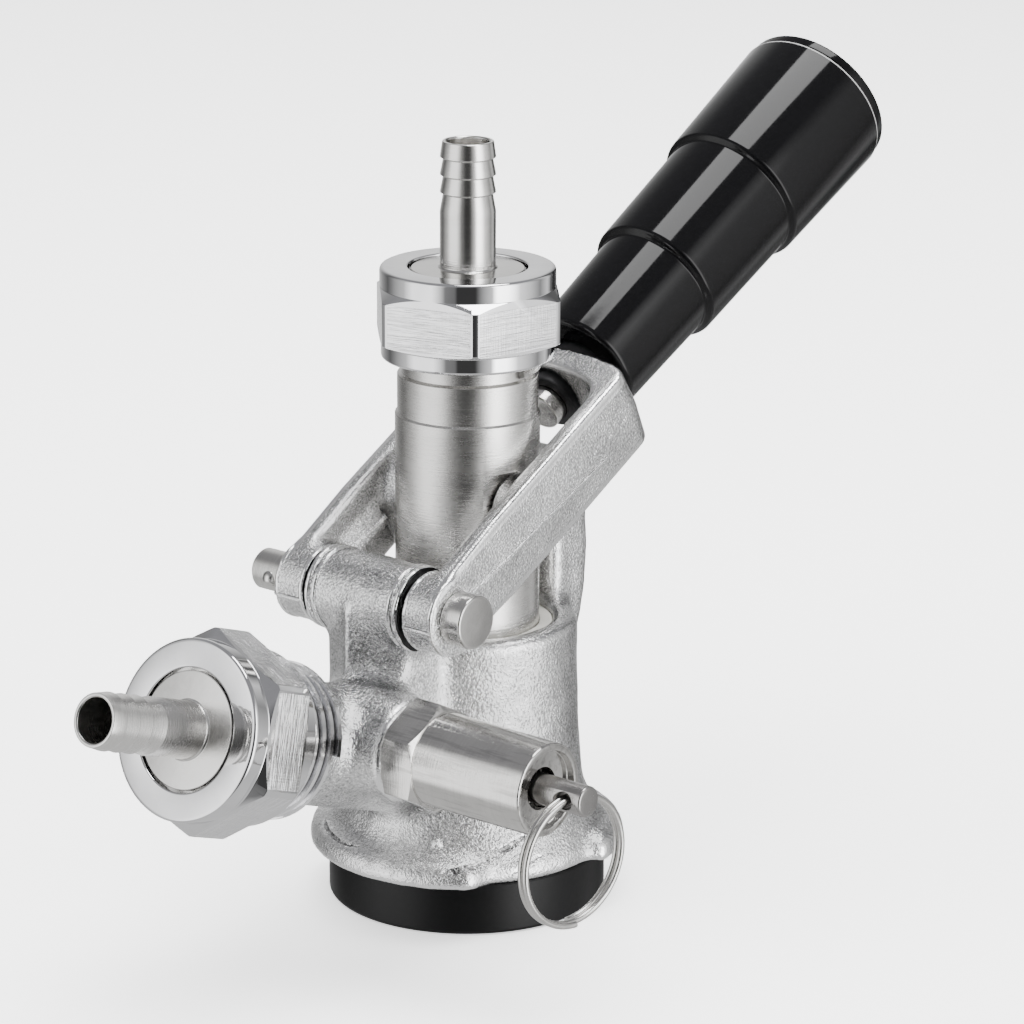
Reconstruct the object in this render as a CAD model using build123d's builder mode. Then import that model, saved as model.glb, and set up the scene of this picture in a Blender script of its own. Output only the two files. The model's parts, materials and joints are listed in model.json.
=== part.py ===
from build123d import *
import os
from math import atan, atan2, cos, degrees, hypot, pi, radians, sin, sqrt, tan

# Keg coupler with a lever-driven probe, a gas inlet and a relief valve.
# Millimetres. The origin is on the probe axis, in the plane the base stands on.
# +Z is up along the probe, -Y is the gas inlet side, +X is the relief valve side.
# The lever is drawn raised, as it stands when no keg is tapped.

# Clearances
running_fit = 0.05       # a shaft that turns or slides in its hole
free_gap = 0.35          # neighbouring faces that move past each other
lie_gap = 0.1            # pieces that lie against each other without a press fit

# Probe: the ground tube that the lever pushes down
probe_r = 11.2
probe_neck_r = 10.85
probe_step_z = 78.1
probe_top_z = 93.8
probe_ground_z = 29.0
probe_waist_r = 8.2
probe_foot_r = 9.4
probe_foot_z = 12.4
probe_bore_r = 3.6
ball_r = 5.0
ball_chamber_r = 6.4
ball_lift = 3.0
retainer_len = 9.0
retainer_wall = 1.3
foot_seal_len = 5.2
foot_shoulder_len = 2.4

# G 5/8 union thread, shared by the beer and the gas side
thread_r = 11.45
thread_pitch = 1.814
thread_depth = 1.16

# Union nut, 27 mm across flats
nut_flats = 27.0
nut_face_r = 13.5
nut_skirt_r = 13.3
nut_len = 14.1
nut_face_len = 2.9
nut_skirt_len = 2.7
nut_lip = 2.8
nut_hole_r = 9.15
nut_corner_rise = 1.25
nut_corner_trim = 0.24     # the corners are turned down to a narrow round land
beer_nut_turn = -45.3
gas_nut_turn = 37.0

# Washer and tailpiece, shared by both sides
washer_thick = 1.5
washer_r = 9.9
washer_bore_r = 5.6
tail_flange_thick = 2.6
tail_flange_r = 10.6
tail_hub_r = 8.75
tail_hub_recess = 0.25
barb_r = 4.28
barb_root_r = 3.8
barb_lip_r = 3.93
barb_bore_r = 3.3
barb_len = 19.3
barb_pitch = 2.7
barb_count = 3

# Body casting
barrel_r = 17.2
barrel_foot_r = 18.4
barrel_foot_z = 17.6
barrel_plain_len = 5.9     # straight stretch below the rim, above the flare
rim_z = 45.5
rim_round = 1.4
gland_r = 13.4
gland_z = 30.9
bush_z = 33.6
bush_top_z = 44.4
chamber_r = 14.0
ledge_r = 11.6
ledge_z = 28.0
skirt_bore_r = 17.4
skirt_wall = 1.8
skirt_z = 1.0
body_seal_z = 9.6
body_seal_thick = 3.2
body_seal_bore_r = 10.3
seal_groove_depth = 0.6    # how far the seal's groove undercuts the socket
flange_z = 8.2
flange_thick = 3.6
flange_out = 3.1           # how far the flange stands out past the skirt
flange_round = 2.0
ear_out = 2.5              # how far the ears stand out of the round flange
ear_thick = 4.2
ear_start = -170.0
ear_sweep = 122.3
ear_ramp = 9.3
ear_corner = 1.0
ear_round = 2.8
base_ring_wall = 2.6
base_ring_lip = 0.9

# Hinge
pin_y = -21.0
pin_z = 52.8
pin_r = 3.2
pin_head_r = 4.1
pin_head_len = 3.8
pin_tail = 7.8
pin_ball_r = 1.35
pin_ball_out = 0.75
pin_ball_x = -19.6
pin_ball_dip = 8.0
boss_r = 6.5
boss_half = 9.7
boss_draft = 2.0
hub_r = 6.0
column_half = 8.2
column_side_front = 2.3
column_front = 7.2

# Lever fork
lever_rise = 28.8        # degrees above level when raised
lever_drop = 28.5        # degrees it swings down to the rim
lever_half_h = 6.8
fork_half = 15.9
arm_width = 3.8
bridge_in = 47.9
bridge_out = 53.0
bridge_side_in = 45.4
bridge_side_out = 50.6
bridge_corner_out = 4.0
bridge_corner_in = 4.6
fork_draft = 3.4
root_len = 14.0
ledge_top = 2.9
ledge_lip = -0.5
ledge_low = -5.6
ledge_inner = 10.4
ledge_len = 16.0
web_inner = 11.65
web_len = 25.0
lug_reach = 23.6
lug_r = 5.6
lug_floor = 8.9          # half width across the two flats of the probe
lug_play = 0.65

# Lock plunger and grip, measured along the lever from the hinge
plunger_tip = 44.0
plunger_r = 3.3
plunger_rod_r = 2.0
plunger_shoulder = 52.5
plunger_in = 2.0         # travel into the lock
plunger_out = 4.0        # travel when the handle is pulled
bushing_r = 4.9
bushing_front = 46.6
bushing_end = 66.5
bushing_wall_end = 2.0
grip_start = 55.3
grip_step_1 = 76.4
grip_step_2 = 99.2
grip_end = 124.6
grip_shoulder = 1.2
grip_r = (9.5, 10.1)
grip_mid_r = (11.2, 11.7)
grip_big_r = (12.6, 13.4)
grip_bore_gap = 0.6
grip_bore_end = 74.0
cap_r = 12.3
cap_depth = 3.0
cap_proud = 1.2

# Rear guard that the plunger rides behind, concentric with the hinge
guard_gap = 1.2          # from the guard to the nose of the plunger
guard_half = 7.0
guard_thick = 8.7
guard_top_drop = 4.4
guard_round = 1.2

# Gas inlet tube, rising towards the front
inlet_z = 20.9
inlet_rise = 19.1
inlet_r = 9.4
inlet_end = 59.8
inlet_thread_start = 46.6
inlet_bore_r = 4.0
check_flange_r = 9.2
check_flange_thick = 2.5
check_body_r = 6.6
check_len = 15.5
check_wall = 1.2
check_pocket_r = 7.6

# Relief valve, on the +X side of the inlet tube
relief_y = -29.4
relief_z = 33.7
relief_seat_x = 14.7
relief_boss_r = 8.7
cast_corner = 3.0        # soft corner that the mould leaves round the relief boss
relief_hex_flats = 15.0
relief_hex_len = 5.8
relief_hex_turn = 31.0
relief_r = 7.25
relief_end_r = 7.05
relief_end_x = 40.6
relief_recess = 1.3
relief_recess_r = 5.9
relief_end_wall = 1.2
relief_stub_r = 5.4
relief_stub_len = 4.8
relief_chamber_r = 5.2
relief_port_r = 1.8
relief_disc_r = 4.5
relief_disc_thick = 1.2
stem_head_r = 4.6
stem_head_thick = 1.6
stem_r = 2.32
stem_end_x = 48.1
stem_lift = 3.0
stem_hole_x = 45.0
stem_hole_r = 1.35
stem_hole_flare = 0.55
relief_spring_wire = 0.7
ring_wire_r = 0.4
ring_r = 9.75
ring_turn = 8.0

# Worked out from the sizes above
skirt_r = skirt_bore_r + skirt_wall
base_ring_r = skirt_r + base_ring_wall
seal_groove_r = skirt_bore_r + seal_groove_depth
flange_r = skirt_r + flange_out
ear_r = flange_r + ear_out
ear_inner_r = barrel_foot_r - 2.4
guard_r = plunger_tip - guard_gap
guard_front_y = pin_y + guard_r - guard_thick
lever_axis = Plane(
    origin=(0, pin_y, pin_z),
    x_dir=(1, 0, 0),
    z_dir=(0, -sin(radians(lever_rise)), cos(radians(lever_rise))),
)
lever_side = Plane(
    origin=lever_axis.origin,
    x_dir=(0, cos(radians(lever_rise)), sin(radians(lever_rise))),
    z_dir=(1, 0, 0),
)
inlet_axis = Plane(
    origin=(0, 0, inlet_z),
    x_dir=(1, 0, 0),
    z_dir=(0, -cos(radians(inlet_rise)), sin(radians(inlet_rise))),
)
relief_axis = Plane(origin=(0, relief_y, relief_z), x_dir=(0, 1, 0), z_dir=(1, 0, 0))
hinge_axis = Plane(origin=(0, pin_y, pin_z), x_dir=(0, 1, 0), z_dir=(1, 0, 0))
lug_y = pin_y + lug_reach * cos(radians(lever_rise))
lug_z = pin_z + lug_reach * sin(radians(lever_rise))
lug_z_low = pin_z + lug_reach * sin(radians(lever_rise - lever_drop))
probe_travel = lug_z - lug_z_low
stack = washer_thick + tail_flange_thick + nut_lip


def along_lever(distance):
    """Plane across the lever axis, this far from the hinge, facing the grip."""
    c, s = cos(radians(lever_rise)), sin(radians(lever_rise))
    return Plane(
        origin=(0, pin_y + distance * c, pin_z + distance * s),
        x_dir=(1, 0, 0),
        z_dir=(0, c, s),
    )


def turned(points, plane):
    """Solid of revolution about a plane's Z axis from (radius, height) points."""
    section = Plane(origin=plane.origin, x_dir=plane.x_dir, z_dir=-plane.y_dir)
    with BuildPart() as lathe:
        with BuildSketch(section):
            with BuildLine():
                Polyline(*points, close=True)
            make_face()
        revolve(axis=Axis(plane.origin, plane.z_dir))
    return lathe.part


def finish(piece, label):
    """Label a finished piece and write it to its own file."""
    piece.label = label
    export_step(piece, f"parts/{label}.step")


os.makedirs("parts", exist_ok=True)


# Union nut: a hexagon turned round at both ends, with an inner lip
def union_nut(end_plane, turn):
    with BuildPart() as nut:
        with BuildSketch(end_plane.offset(stack - nut_len)):
            RegularPolygon(nut_flats / 2, 6, major_radius=False, rotation=turn)
        extrude(amount=nut_len)
        corner_r = nut_flats / 2 / cos(pi / 6) - nut_corner_trim
        hex_low = stack - nut_len + nut_skirt_len
        hex_high = stack - nut_face_len
        outline = turned(
            [
                (0, stack - nut_len),
                (nut_skirt_r - 0.5, stack - nut_len),
                (nut_skirt_r, stack - nut_len + 0.5),
                (nut_skirt_r, hex_low),
                (corner_r, hex_low + nut_corner_rise / 2),
                (corner_r, hex_high - nut_corner_rise),
                (nut_face_r, hex_high),
                (nut_face_r, stack - 0.5),
                (nut_face_r - 0.5, stack),
                (0, stack),
            ],
            end_plane,
        )
        add(outline, mode=Mode.INTERSECT)
        with BuildSketch(end_plane.offset(stack - nut_len)):
            Circle(thread_r + running_fit)
        extrude(amount=nut_len - nut_lip, mode=Mode.SUBTRACT)
        with BuildSketch(end_plane.offset(stack)):
            Circle(nut_hole_r)
        extrude(amount=-nut_lip, mode=Mode.SUBTRACT)
    return nut.part


# Tailpiece: a flange under the nut lip, a hub in its hole and a barbed tube
def tailpiece(end_plane):
    flange_low = washer_thick
    flange_top = washer_thick + tail_flange_thick
    hub_top = stack - tail_hub_recess
    tip = stack + barb_len
    ridges = []
    for k in range(barb_count):
        ridge_low = tip - (barb_count - k) * barb_pitch
        ridges.append((barb_root_r, ridge_low))
        ridges.append((barb_r, ridge_low + 0.25))
    ridges.append((barb_lip_r, tip))
    return turned(
        [
            (barb_bore_r, flange_low),
            (tail_flange_r, flange_low),
            (tail_flange_r, flange_top),
            (tail_hub_r, flange_top),
            (tail_hub_r, hub_top),
            (barb_r + 0.3, hub_top),
            (barb_r, hub_top + 0.3),
            (barb_r, tip - (barb_count + 1) * barb_pitch),
            *ridges,
            (barb_bore_r + 0.2, tip),
            (barb_bore_r, tip - 0.2),
        ],
        end_plane,
    )


# Flat washer between a threaded end and its tailpiece
def flat_washer(end_plane):
    with BuildPart() as washer:
        with BuildSketch(end_plane):
            Circle(washer_r)
            Circle(washer_bore_r, mode=Mode.SUBTRACT)
        extrude(amount=washer_thick)
    return washer.part


beer_end = Plane.XY.offset(probe_top_z)
gas_end = inlet_axis.offset(inlet_end)

finish(union_nut(beer_end, beer_nut_turn), "beer_union_nut")
finish(union_nut(gas_end, gas_nut_turn), "gas_union_nut")
finish(tailpiece(beer_end), "beer_tailpiece")
finish(tailpiece(gas_end), "gas_tailpiece")
finish(flat_washer(beer_end), "beer_washer")
finish(flat_washer(gas_end), "gas_washer")


# Body casting: barrel, lobed flange, skirt, hinge column, inlet tube and guard
barrel = turned(
    [
        (0, flange_z),
        (flange_r - flange_round, flange_z),
        (flange_r - flange_round, flange_z + flange_thick - 0.2),
        (flange_r - 0.8, flange_z + flange_thick - 0.2),
        (barrel_foot_r + 0.1, barrel_foot_z - 0.3),
        (barrel_foot_r - 0.3, barrel_foot_z + 2.5),
        (barrel_r + 0.3, barrel_foot_z + 10.5),
        (barrel_r, rim_z - barrel_plain_len),
        (barrel_r, rim_z),
        (0, rim_z),
    ],
    Plane.XY,
)

with BuildPart() as flange:
    with BuildSketch(Plane.XY.offset(flange_z)):
        Circle(flange_r)
    extrude(amount=flange_thick)
    fillet(flange.faces().sort_by(Axis.Z)[-1].edges(), radius=flange_round)
    fillet(flange.faces().sort_by(Axis.Z)[0].edges(), radius=0.6)

ramp_end = Vector(flange_r - 0.4, 0).rotate(Axis.Z, ear_start + ear_sweep + ear_ramp)
with BuildPart() as ear:
    with BuildSketch(Plane.XY.offset(flange_z)):
        with BuildLine():
            outer = CenterArc((0, 0), ear_r, ear_start, ear_sweep)
            ramp = Line(outer @ 1, ramp_end)
            inner = CenterArc((0, 0), ear_inner_r, ear_start + ear_sweep + ear_ramp, -ear_sweep - ear_ramp)
            Line(ramp @ 1, inner @ 0)
            Line(inner @ 1, outer @ 0)
        make_face()
        fillet([v for v in vertices() if hypot(v.X, v.Y) > flange_r], radius=ear_corner)
    extrude(amount=ear_thick)
    ear_top = ear.faces().sort_by(Axis.Z)[-1]
    fillet([e for e in ear_top.edges() if hypot(e.center().X, e.center().Y) > ear_inner_r + ear_corner], radius=ear_round)

with BuildPart() as guard:
    with BuildSketch(Plane.YZ):
        with Locations((pin_y, pin_z)):
            Circle(guard_r)
        with Locations((guard_front_y, 0)):
            Rectangle(2 * guard_r, 4 * guard_r, align=(Align.MIN, Align.CENTER), mode=Mode.INTERSECT)
    extrude(amount=guard_half, both=True)
    top_cut = lever_axis.offset(-guard_top_drop)
    split(bisect_by=top_cut, keep=Keep.BOTTOM)
    split(bisect_by=Plane.XY.offset(bush_z), keep=Keep.TOP)
    fillet(guard.edges().filter_by(lambda e: abs(e.center().X) > guard_half - 0.01), radius=guard_round)

with BuildPart() as column:
    with BuildSketch(Plane.XY.offset(inlet_z + 5.0)):
        with BuildLine():
            Polyline(
                (-column_half, pin_y + 8.0),
                (-column_half, pin_y - column_side_front),
                (0, pin_y - column_front),
                (column_half, pin_y - column_side_front),
                (column_half, pin_y + 8.0),
                close=True,
            )
        make_face()
    extrude(amount=pin_z - inlet_z - 5.0)

with BuildPart() as boss:
    with BuildSketch(hinge_axis):
        Circle(boss_r)
    extrude(amount=boss_half, taper=boss_draft)
    with BuildSketch(hinge_axis):
        Circle(boss_r)
    extrude(amount=-boss_half, taper=boss_draft)

with BuildPart() as inlet:
    with BuildSketch(inlet_axis.offset(8.0)):
        Circle(inlet_r)
    extrude(amount=inlet_thread_start - 8.0)
    with BuildSketch(inlet_axis.offset(inlet_thread_start)):
        Circle(thread_r)
    extrude(amount=inlet_end - inlet_thread_start)
    chamfer(inlet.faces().sort_by(Axis.Y)[0].outer_wire().edges(), length=0.8)

with BuildPart() as relief_boss:
    with BuildSketch(relief_axis):
        Circle(relief_boss_r)
    extrude(amount=relief_seat_x, taper=3)

with BuildPart() as body_casting:
    add(barrel)
    fillet(body_casting.edges().filter_by(GeomType.CIRCLE).sort_by(Axis.Z)[-1], radius=rim_round)
    add(flange.part)
    add(ear.part)
    add(ear.part.rotate(Axis.Z, 180))
    add(guard.part)
    add(column.part)
    add(boss.part)
    add(inlet.part)
    add(relief_boss.part)
    # soft cast corner round the relief boss
    seams = body_casting.edges().filter_by(GeomType.BSPLINE)
    boss_seam = [e for e in seams if e.center().Y < relief_y + relief_boss_r and e.center().X > 0]
    fillet(boss_seam, radius=cast_corner)
    with BuildSketch(Plane.XY.offset(skirt_z)):
        Circle(skirt_r)
    extrude(amount=flange_z - skirt_z + 0.5)
    # keg socket, gas chamber, ledge, seal gland and bush bore, from below
    with BuildSketch(Plane.XY.offset(skirt_z)):
        Circle(skirt_bore_r)
    extrude(amount=body_seal_z - skirt_z, mode=Mode.SUBTRACT)
    with BuildSketch(Plane.XY.offset(body_seal_z)):
        Circle(seal_groove_r)
    extrude(amount=body_seal_thick, mode=Mode.SUBTRACT)
    with BuildSketch(Plane.XY.offset(body_seal_z)):
        Circle(chamber_r)
    extrude(amount=ledge_z - body_seal_z, mode=Mode.SUBTRACT)
    with BuildSketch(Plane.XY.offset(ledge_z - 1)):
        Circle(ledge_r)
    extrude(amount=gland_z - ledge_z + 2, mode=Mode.SUBTRACT)
    with BuildSketch(Plane.XY.offset(gland_z)):
        Circle(gland_r)
    extrude(amount=rim_z + 1 - gland_z, mode=Mode.SUBTRACT)
    # room for the probe beside the column and the boss
    with BuildSketch(Plane.XY.offset(rim_z - 1)):
        Circle(gland_r)
    extrude(amount=40, mode=Mode.SUBTRACT)
    # hinge pin bore
    with BuildSketch(hinge_axis.offset(-boss_half - 1)):
        Circle(pin_r + running_fit)
    extrude(amount=2 * boss_half + 2, mode=Mode.SUBTRACT)
    # gas way: narrow bore, pocket for the check valve and its flange seat
    with BuildSketch(inlet_axis.offset(chamber_r - 3)):
        Circle(inlet_bore_r)
    extrude(amount=inlet_end - chamber_r + 4, mode=Mode.SUBTRACT)
    with BuildSketch(inlet_axis.offset(inlet_end - check_len - 0.8)):
        Circle(check_pocket_r)
    extrude(amount=check_len + 1.8, mode=Mode.SUBTRACT)
    with BuildSketch(inlet_axis.offset(inlet_end - check_flange_thick)):
        Circle(check_flange_r + lie_gap)
    extrude(amount=check_flange_thick + 1, mode=Mode.SUBTRACT)
    # relief valve port
    with BuildSketch(relief_axis.offset(relief_seat_x - relief_stub_len - 0.6)):
        Circle(relief_stub_r + lie_gap)
    extrude(amount=relief_stub_len + 1.6, mode=Mode.SUBTRACT)
    with BuildSketch(relief_axis):
        Circle(relief_port_r)
    extrude(amount=relief_seat_x, mode=Mode.SUBTRACT)
    # lock pocket in the guard, where the plunger drops in with the lever down
    low = lever_rise - lever_drop
    pocket = Plane(
        origin=(
            0,
            pin_y + (plunger_tip - plunger_in - free_gap) * cos(radians(low)),
            pin_z + (plunger_tip - plunger_in - free_gap) * sin(radians(low)),
        ),
        x_dir=(1, 0, 0),
        z_dir=(0, cos(radians(low)), sin(radians(low))),
    )
    with BuildSketch(pocket):
        Circle(plunger_r + free_gap)
    extrude(amount=6, mode=Mode.SUBTRACT)
finish(body_casting.part, "body_casting")

# Black ring pushed over the skirt, the face the coupler stands on
with BuildPart() as base_ring:
    with BuildSketch(Plane.XY):
        Circle(base_ring_r)
    extrude(amount=flange_z)
    chamfer(base_ring.faces().sort_by(Axis.Z)[0].outer_wire().edges(), length=0.6)
    with BuildSketch(Plane.XY.offset(base_ring_lip)):
        Circle(skirt_r + running_fit)
    extrude(amount=flange_z, mode=Mode.SUBTRACT)
    with BuildSketch(Plane.XY):
        Circle(skirt_bore_r)
    extrude(amount=flange_z, mode=Mode.SUBTRACT)
finish(base_ring.part, "base_ring")

# Bottom washer that seals on the keg valve
with BuildPart() as body_seal:
    with BuildSketch(Plane.XY.offset(body_seal_z)):
        Circle(seal_groove_r - running_fit)
        Circle(body_seal_bore_r, mode=Mode.SUBTRACT)
    extrude(amount=body_seal_thick)
finish(body_seal.part, "body_seal")

# Bush that guides the probe at the mouth of the barrel
with BuildPart() as guide_bush:
    with BuildSketch(Plane.XY.offset(bush_z)):
        Circle(gland_r - running_fit)
        Circle(probe_r + running_fit, mode=Mode.SUBTRACT)
    extrude(amount=bush_top_z - bush_z)
    chamfer(guide_bush.faces().sort_by(Axis.Z)[-1].edges(), length=0.4)
finish(guide_bush.part, "guide_bush")

# Upper probe seal, an O-ring trapped between the ledge and the bush
ring_section_r = (gland_r - probe_r) / 2 - running_fit
with BuildPart() as probe_seal:
    with BuildSketch(Plane.XZ):
        with Locations(((gland_r + probe_r) / 2, gland_z + ring_section_r + lie_gap)):
            Circle(ring_section_r)
    revolve(axis=Axis.Z)
finish(probe_seal.part, "upper_probe_seal")

# Hinge pin with its head on the +X side and a detent ball in its tail
pin_len = 2 * fork_half + pin_tail
ball_dir = Vector(0, -cos(radians(pin_ball_dip)), -sin(radians(pin_ball_dip)))
ball_at = Vector(pin_ball_x, pin_y, pin_z) + ball_dir * (pin_r + pin_ball_out - pin_ball_r)
with BuildPart() as hinge_pin:
    with BuildSketch(hinge_axis.offset(-fork_half - pin_tail)):
        Circle(pin_r)
    extrude(amount=pin_len)
    chamfer(hinge_pin.faces().sort_by(Axis.X)[0].edges(), length=0.5)
    with BuildSketch(hinge_axis.offset(fork_half)):
        Circle(pin_head_r)
    extrude(amount=pin_head_len)
    chamfer(hinge_pin.faces().sort_by(Axis.X)[-1].edges(), length=0.35)
    with Locations(ball_at):
        Sphere(pin_ball_r + running_fit, mode=Mode.SUBTRACT)
    with BuildSketch(Plane(origin=ball_at, z_dir=ball_dir)):
        Circle(pin_ball_r + running_fit)
    extrude(amount=pin_r, mode=Mode.SUBTRACT)
finish(hinge_pin.part, "hinge_pin")

with BuildPart() as pin_ball:
    with Locations(ball_at):
        Sphere(pin_ball_r)
finish(pin_ball.part, "hinge_pin_ball")

# Lever fork: two drafted arms, a crowned bridge, hubs and drive lugs
inner_half = fork_half - arm_width
with BuildSketch() as fork_outline:
    with BuildLine():
        left = Line((-fork_half, 0), (-fork_half, bridge_side_out))
        back = ThreePointArc(left @ 1, (0, bridge_out), (fork_half, bridge_side_out))
        right = Line(back @ 1, (fork_half, 0))
        right_foot = Line(right @ 1, (inner_half, 0))
        right_in = Line(right_foot @ 1, (inner_half, bridge_side_in))
        wall = ThreePointArc(right_in @ 1, (0, bridge_in), (-inner_half, bridge_side_in))
        left_in = Line(wall @ 1, (-inner_half, 0))
        Line(left_in @ 1, left @ 0)
    make_face()
    fillet([v for v in vertices() if v.Y > bridge_side_out - 0.01], radius=bridge_corner_out)
    fillet([v for v in vertices() if abs(v.Y - bridge_side_in) < 0.01], radius=bridge_corner_in)

with BuildPart() as lever_fork:
    with BuildSketch(lever_axis):
        add(fork_outline.sketch)
    extrude(amount=lever_half_h, taper=fork_draft)
    mirror(about=lever_axis)
    # the arms thin down to the hub
    with BuildSketch(lever_side):
        for side in (1, -1):
            with BuildLine():
                Polyline(
                    (-1, side * hub_r),
                    (0, side * hub_r),
                    (root_len, side * lever_half_h),
                    (root_len, side * (lever_half_h + 1)),
                    (-1, side * (lever_half_h + 1)),
                    close=True,
                )
            make_face()
    extrude(amount=fork_half + 1, both=True, mode=Mode.SUBTRACT)
    for side in (1, -1):
        # hub that runs beside the boss
        with BuildSketch(hinge_axis.offset(side * fork_half)):
            Circle(hub_r)
        extrude(amount=-side * (fork_half - boss_half - free_gap))
        # ledge along the inside of the arm, then a thin web up to the drive lug
        with BuildSketch(along_lever(0)):
            with BuildLine():
                Polyline(
                    (side * (inner_half + 0.5), -ledge_top),
                    (side * ledge_inner, -ledge_lip),
                    (side * ledge_inner, -ledge_low),
                    (side * (inner_half + 0.5), -ledge_low),
                    close=True,
                )
            make_face()
        extrude(amount=ledge_len)
        with BuildSketch(along_lever(ledge_len - 1)):
            with BuildLine():
                Polyline(
                    (side * (inner_half + 0.5), -ledge_top),
                    (side * web_inner, -ledge_top + 1.0),
                    (side * web_inner, -ledge_low),
                    (side * (inner_half + 0.5), -ledge_low),
                    close=True,
                )
            make_face()
        extrude(amount=web_len - ledge_len)
        with BuildSketch(
            Plane(origin=(side * (inner_half + 0.5), lug_y, lug_z), x_dir=(0, 1, 0), z_dir=(-side, 0, 0))
        ):
            Circle(lug_r)
        extrude(amount=inner_half + 0.5 - lug_floor - free_gap, taper=4)
    # pin bores
    with BuildSketch(hinge_axis.offset(-fork_half - 1)):
        Circle(pin_r + running_fit)
    extrude(amount=2 * fork_half + 2, mode=Mode.SUBTRACT)
    # hole for the bushing through the bridge
    with BuildSketch(along_lever(bridge_side_in - 2)):
        Circle(bushing_r + running_fit)
    extrude(amount=bridge_out - bridge_side_in + 4, mode=Mode.SUBTRACT)
finish(lever_fork.part, "lever_fork")

# Black bushing fixed in the bridge; it guides the plunger and holds the spring
with BuildPart() as plunger_bushing:
    add(
        turned(
            [
                (plunger_r + running_fit, bushing_front),
                (bushing_r, bushing_front),
                (bushing_r, bushing_end),
                (plunger_rod_r + running_fit, bushing_end),
                (plunger_rod_r + running_fit, bushing_end - bushing_wall_end),
                (plunger_r + running_fit, bushing_end - bushing_wall_end),
            ],
            along_lever(0),
        )
    )
finish(plunger_bushing.part, "plunger_bushing")

# Lock plunger: nose, spring shoulder and the rod that the grip is screwed on
with BuildPart() as lock_plunger:
    add(
        turned(
            [
                (0, plunger_tip),
                (plunger_r - 0.5, plunger_tip),
                (plunger_r, plunger_tip + 0.5),
                (plunger_r, plunger_shoulder),
                (plunger_rod_r, plunger_shoulder),
                (plunger_rod_r, grip_bore_end + 12),
                (0, grip_bore_end + 12),
            ],
            along_lever(0),
        )
    )
finish(lock_plunger.part, "lock_plunger")

# Handle grip, three stepped tapers in one gloss black moulding
with BuildPart() as grip:
    add(
        turned(
            [
                (bushing_r + grip_bore_gap, grip_start),
                (grip_r[0] - 0.6, grip_start),
                (grip_r[0], grip_start + 0.6),
                (grip_r[1], grip_step_1),
                (grip_mid_r[0] - 0.6 * grip_shoulder, grip_step_1 + 0.1),
                (grip_mid_r[0], grip_step_1 + grip_shoulder),
                (grip_mid_r[1], grip_step_2),
                (grip_big_r[0] - 0.6 * grip_shoulder, grip_step_2 + 0.1),
                (grip_big_r[0], grip_step_2 + grip_shoulder),
                (grip_big_r[1], grip_end - 0.8),
                (grip_big_r[1] - 0.8, grip_end),
                (cap_r + running_fit, grip_end),
                (cap_r + running_fit, grip_end - cap_depth),
                (0, grip_end - cap_depth),
                (0, grip_bore_end + 12),
                (plunger_rod_r, grip_bore_end + 12),
                (plunger_rod_r, grip_bore_end),
                (bushing_r + grip_bore_gap, grip_bore_end),
            ],
            along_lever(0),
        )
    )
finish(grip.part, "handle_grip")

with BuildPart() as grip_cap:
    add(
        turned(
            [
                (0, grip_end - cap_depth),
                (cap_r, grip_end - cap_depth),
                (cap_r, grip_end + cap_proud - 0.6),
                (cap_r - 0.6, grip_end + cap_proud),
                (0, grip_end + cap_proud),
            ],
            along_lever(0),
        )
    )
finish(grip_cap.part, "grip_end_cap")


# Coil spring: a round wire along a helix between two heights of a plane's axis
def coil_spring(plane, start, end, mean_r, wire_r, turns):
    length = end - start - 2 * wire_r
    foot = plane.offset(start + wire_r)
    with BuildPart() as spring:
        with BuildLine():
            path = Helix(
                pitch=length / turns,
                height=length,
                radius=mean_r,
                center=foot.origin,
                direction=foot.z_dir,
            )
        with BuildSketch(Plane(origin=path @ 0, z_dir=path % 0)):
            Circle(wire_r)
        sweep(is_frenet=True)
    return spring.part


spring_mean_r = (plunger_r + plunger_rod_r) / 2 + running_fit
spring_wire_r = (plunger_r - plunger_rod_r) / 2 - 0.15
finish(
    coil_spring(
        along_lever(0),
        plunger_shoulder + lie_gap,
        bushing_end - bushing_wall_end - lie_gap,
        spring_mean_r,
        spring_wire_r,
        7,
    ),
    "plunger_spring",
)

# Probe: waisted tube with foot, ball seat, ball chamber and threaded top
with BuildPart() as probe:
    add(
        turned(
            [
                (probe_bore_r, probe_foot_z),
                (probe_foot_r - 4.0, probe_foot_z),
                (probe_foot_r - 4.0, probe_foot_z + foot_seal_len),
                (probe_foot_r, probe_foot_z + foot_seal_len),
                (probe_foot_r, probe_foot_z + foot_seal_len + foot_shoulder_len),
                (probe_waist_r, probe_foot_z + foot_seal_len + foot_shoulder_len + 1.2),
                (probe_waist_r, probe_ground_z - 2.0),
                (probe_r - 0.6, probe_ground_z),
                (probe_r, probe_ground_z + 0.8),
                (probe_r, probe_step_z - 0.25),
                (probe_neck_r, probe_step_z),
                (probe_neck_r, probe_top_z + stack - nut_len - 2.4),
                (thread_r - 0.2, probe_top_z + stack - nut_len - 2.0),
                (thread_r - 0.2, probe_top_z - 0.8),
                (thread_r - 1.0, probe_top_z),
                (ball_chamber_r + retainer_wall, probe_top_z),
                (ball_chamber_r + retainer_wall, probe_top_z - retainer_len),
                (ball_chamber_r, probe_top_z - retainer_len),
                (ball_chamber_r, probe_step_z - 2.6),
                (probe_bore_r, probe_step_z - 6.1),
            ],
            Plane.XY,
        )
    )
    # two side flats that the drive lugs sit in
    for side in (1, -1):
        with BuildSketch(Plane.YZ.offset(side * lug_floor)):
            with Locations((0, lug_z)):
                Rectangle(3 * probe_r, 2 * (lug_r + lug_play))
        extrude(amount=side * probe_r, mode=Mode.SUBTRACT)
finish(probe.part, "probe")

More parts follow.
